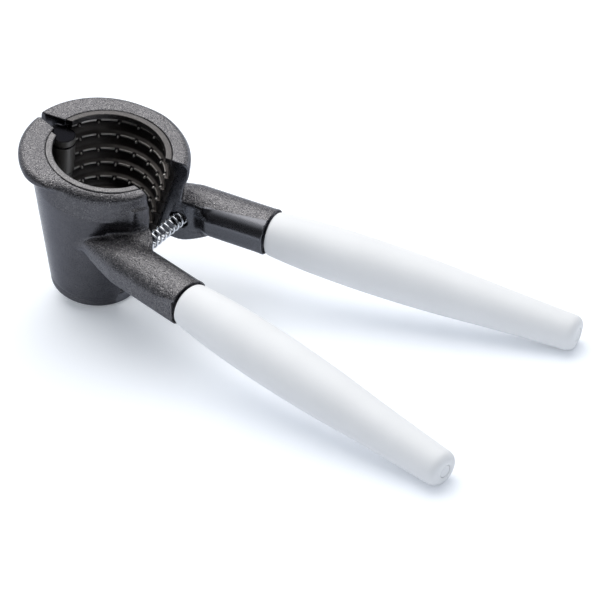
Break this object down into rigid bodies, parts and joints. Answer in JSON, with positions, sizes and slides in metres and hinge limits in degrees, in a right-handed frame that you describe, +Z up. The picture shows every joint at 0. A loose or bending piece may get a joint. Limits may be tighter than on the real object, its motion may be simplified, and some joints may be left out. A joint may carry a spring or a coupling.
{
  "type": "nutcracker",
  "caption": "Spring-loaded nutcracker: a hinged split cup with stepped, nubbed steel liners, a return spring across its mouth and two long swelling handles",
  "frame": {"origin": "middle of the tool's outer box on the table it rests on", "axes": "+X from the cup to the handle tips, +Y to the far (moving) side, +Z up; the cup leans 16.6 degrees toward +X because the tool rests on its foot's edge and both handle tips"},
  "size_m": [0.207, 0.0982, 0.074],
  "materials": {
    "cup_enamel": "hammered dark gunmetal",
    "liner_steel": "satin dark bronze",
    "bright_steel": "ground",
    "spring_wire": "bright",
    "grip": "matte",
    "end_plug": "matte"
  },
  "bodies": {
    "near_side": {"near_jaw": "cup_enamel", "near_liner": "liner_steel", "hinge_pin": "bright_steel", "near_tang": "bright_steel", "near_grip": "grip", "near_end_plug": "end_plug", "return_spring": "spring_wire"},
    "far_side": {"far_jaw": "cup_enamel", "far_liner": "liner_steel", "far_tang": "bright_steel", "far_grip": "grip", "far_end_plug": "end_plug"}
  },
  "joints": [
    {"name": "squeeze", "type": "hinge", "parent": "near_side", "child": "far_side", "pos_m": [-0.09021, -0.0005, 0.05871], "axis": [-0.286, 0, -0.9582], "range_deg": [0, 18], "stiffness_Nm_per_rad": 1.3, "springref_deg": -7.45, "deforming": ["return_spring"]}
  ]
}
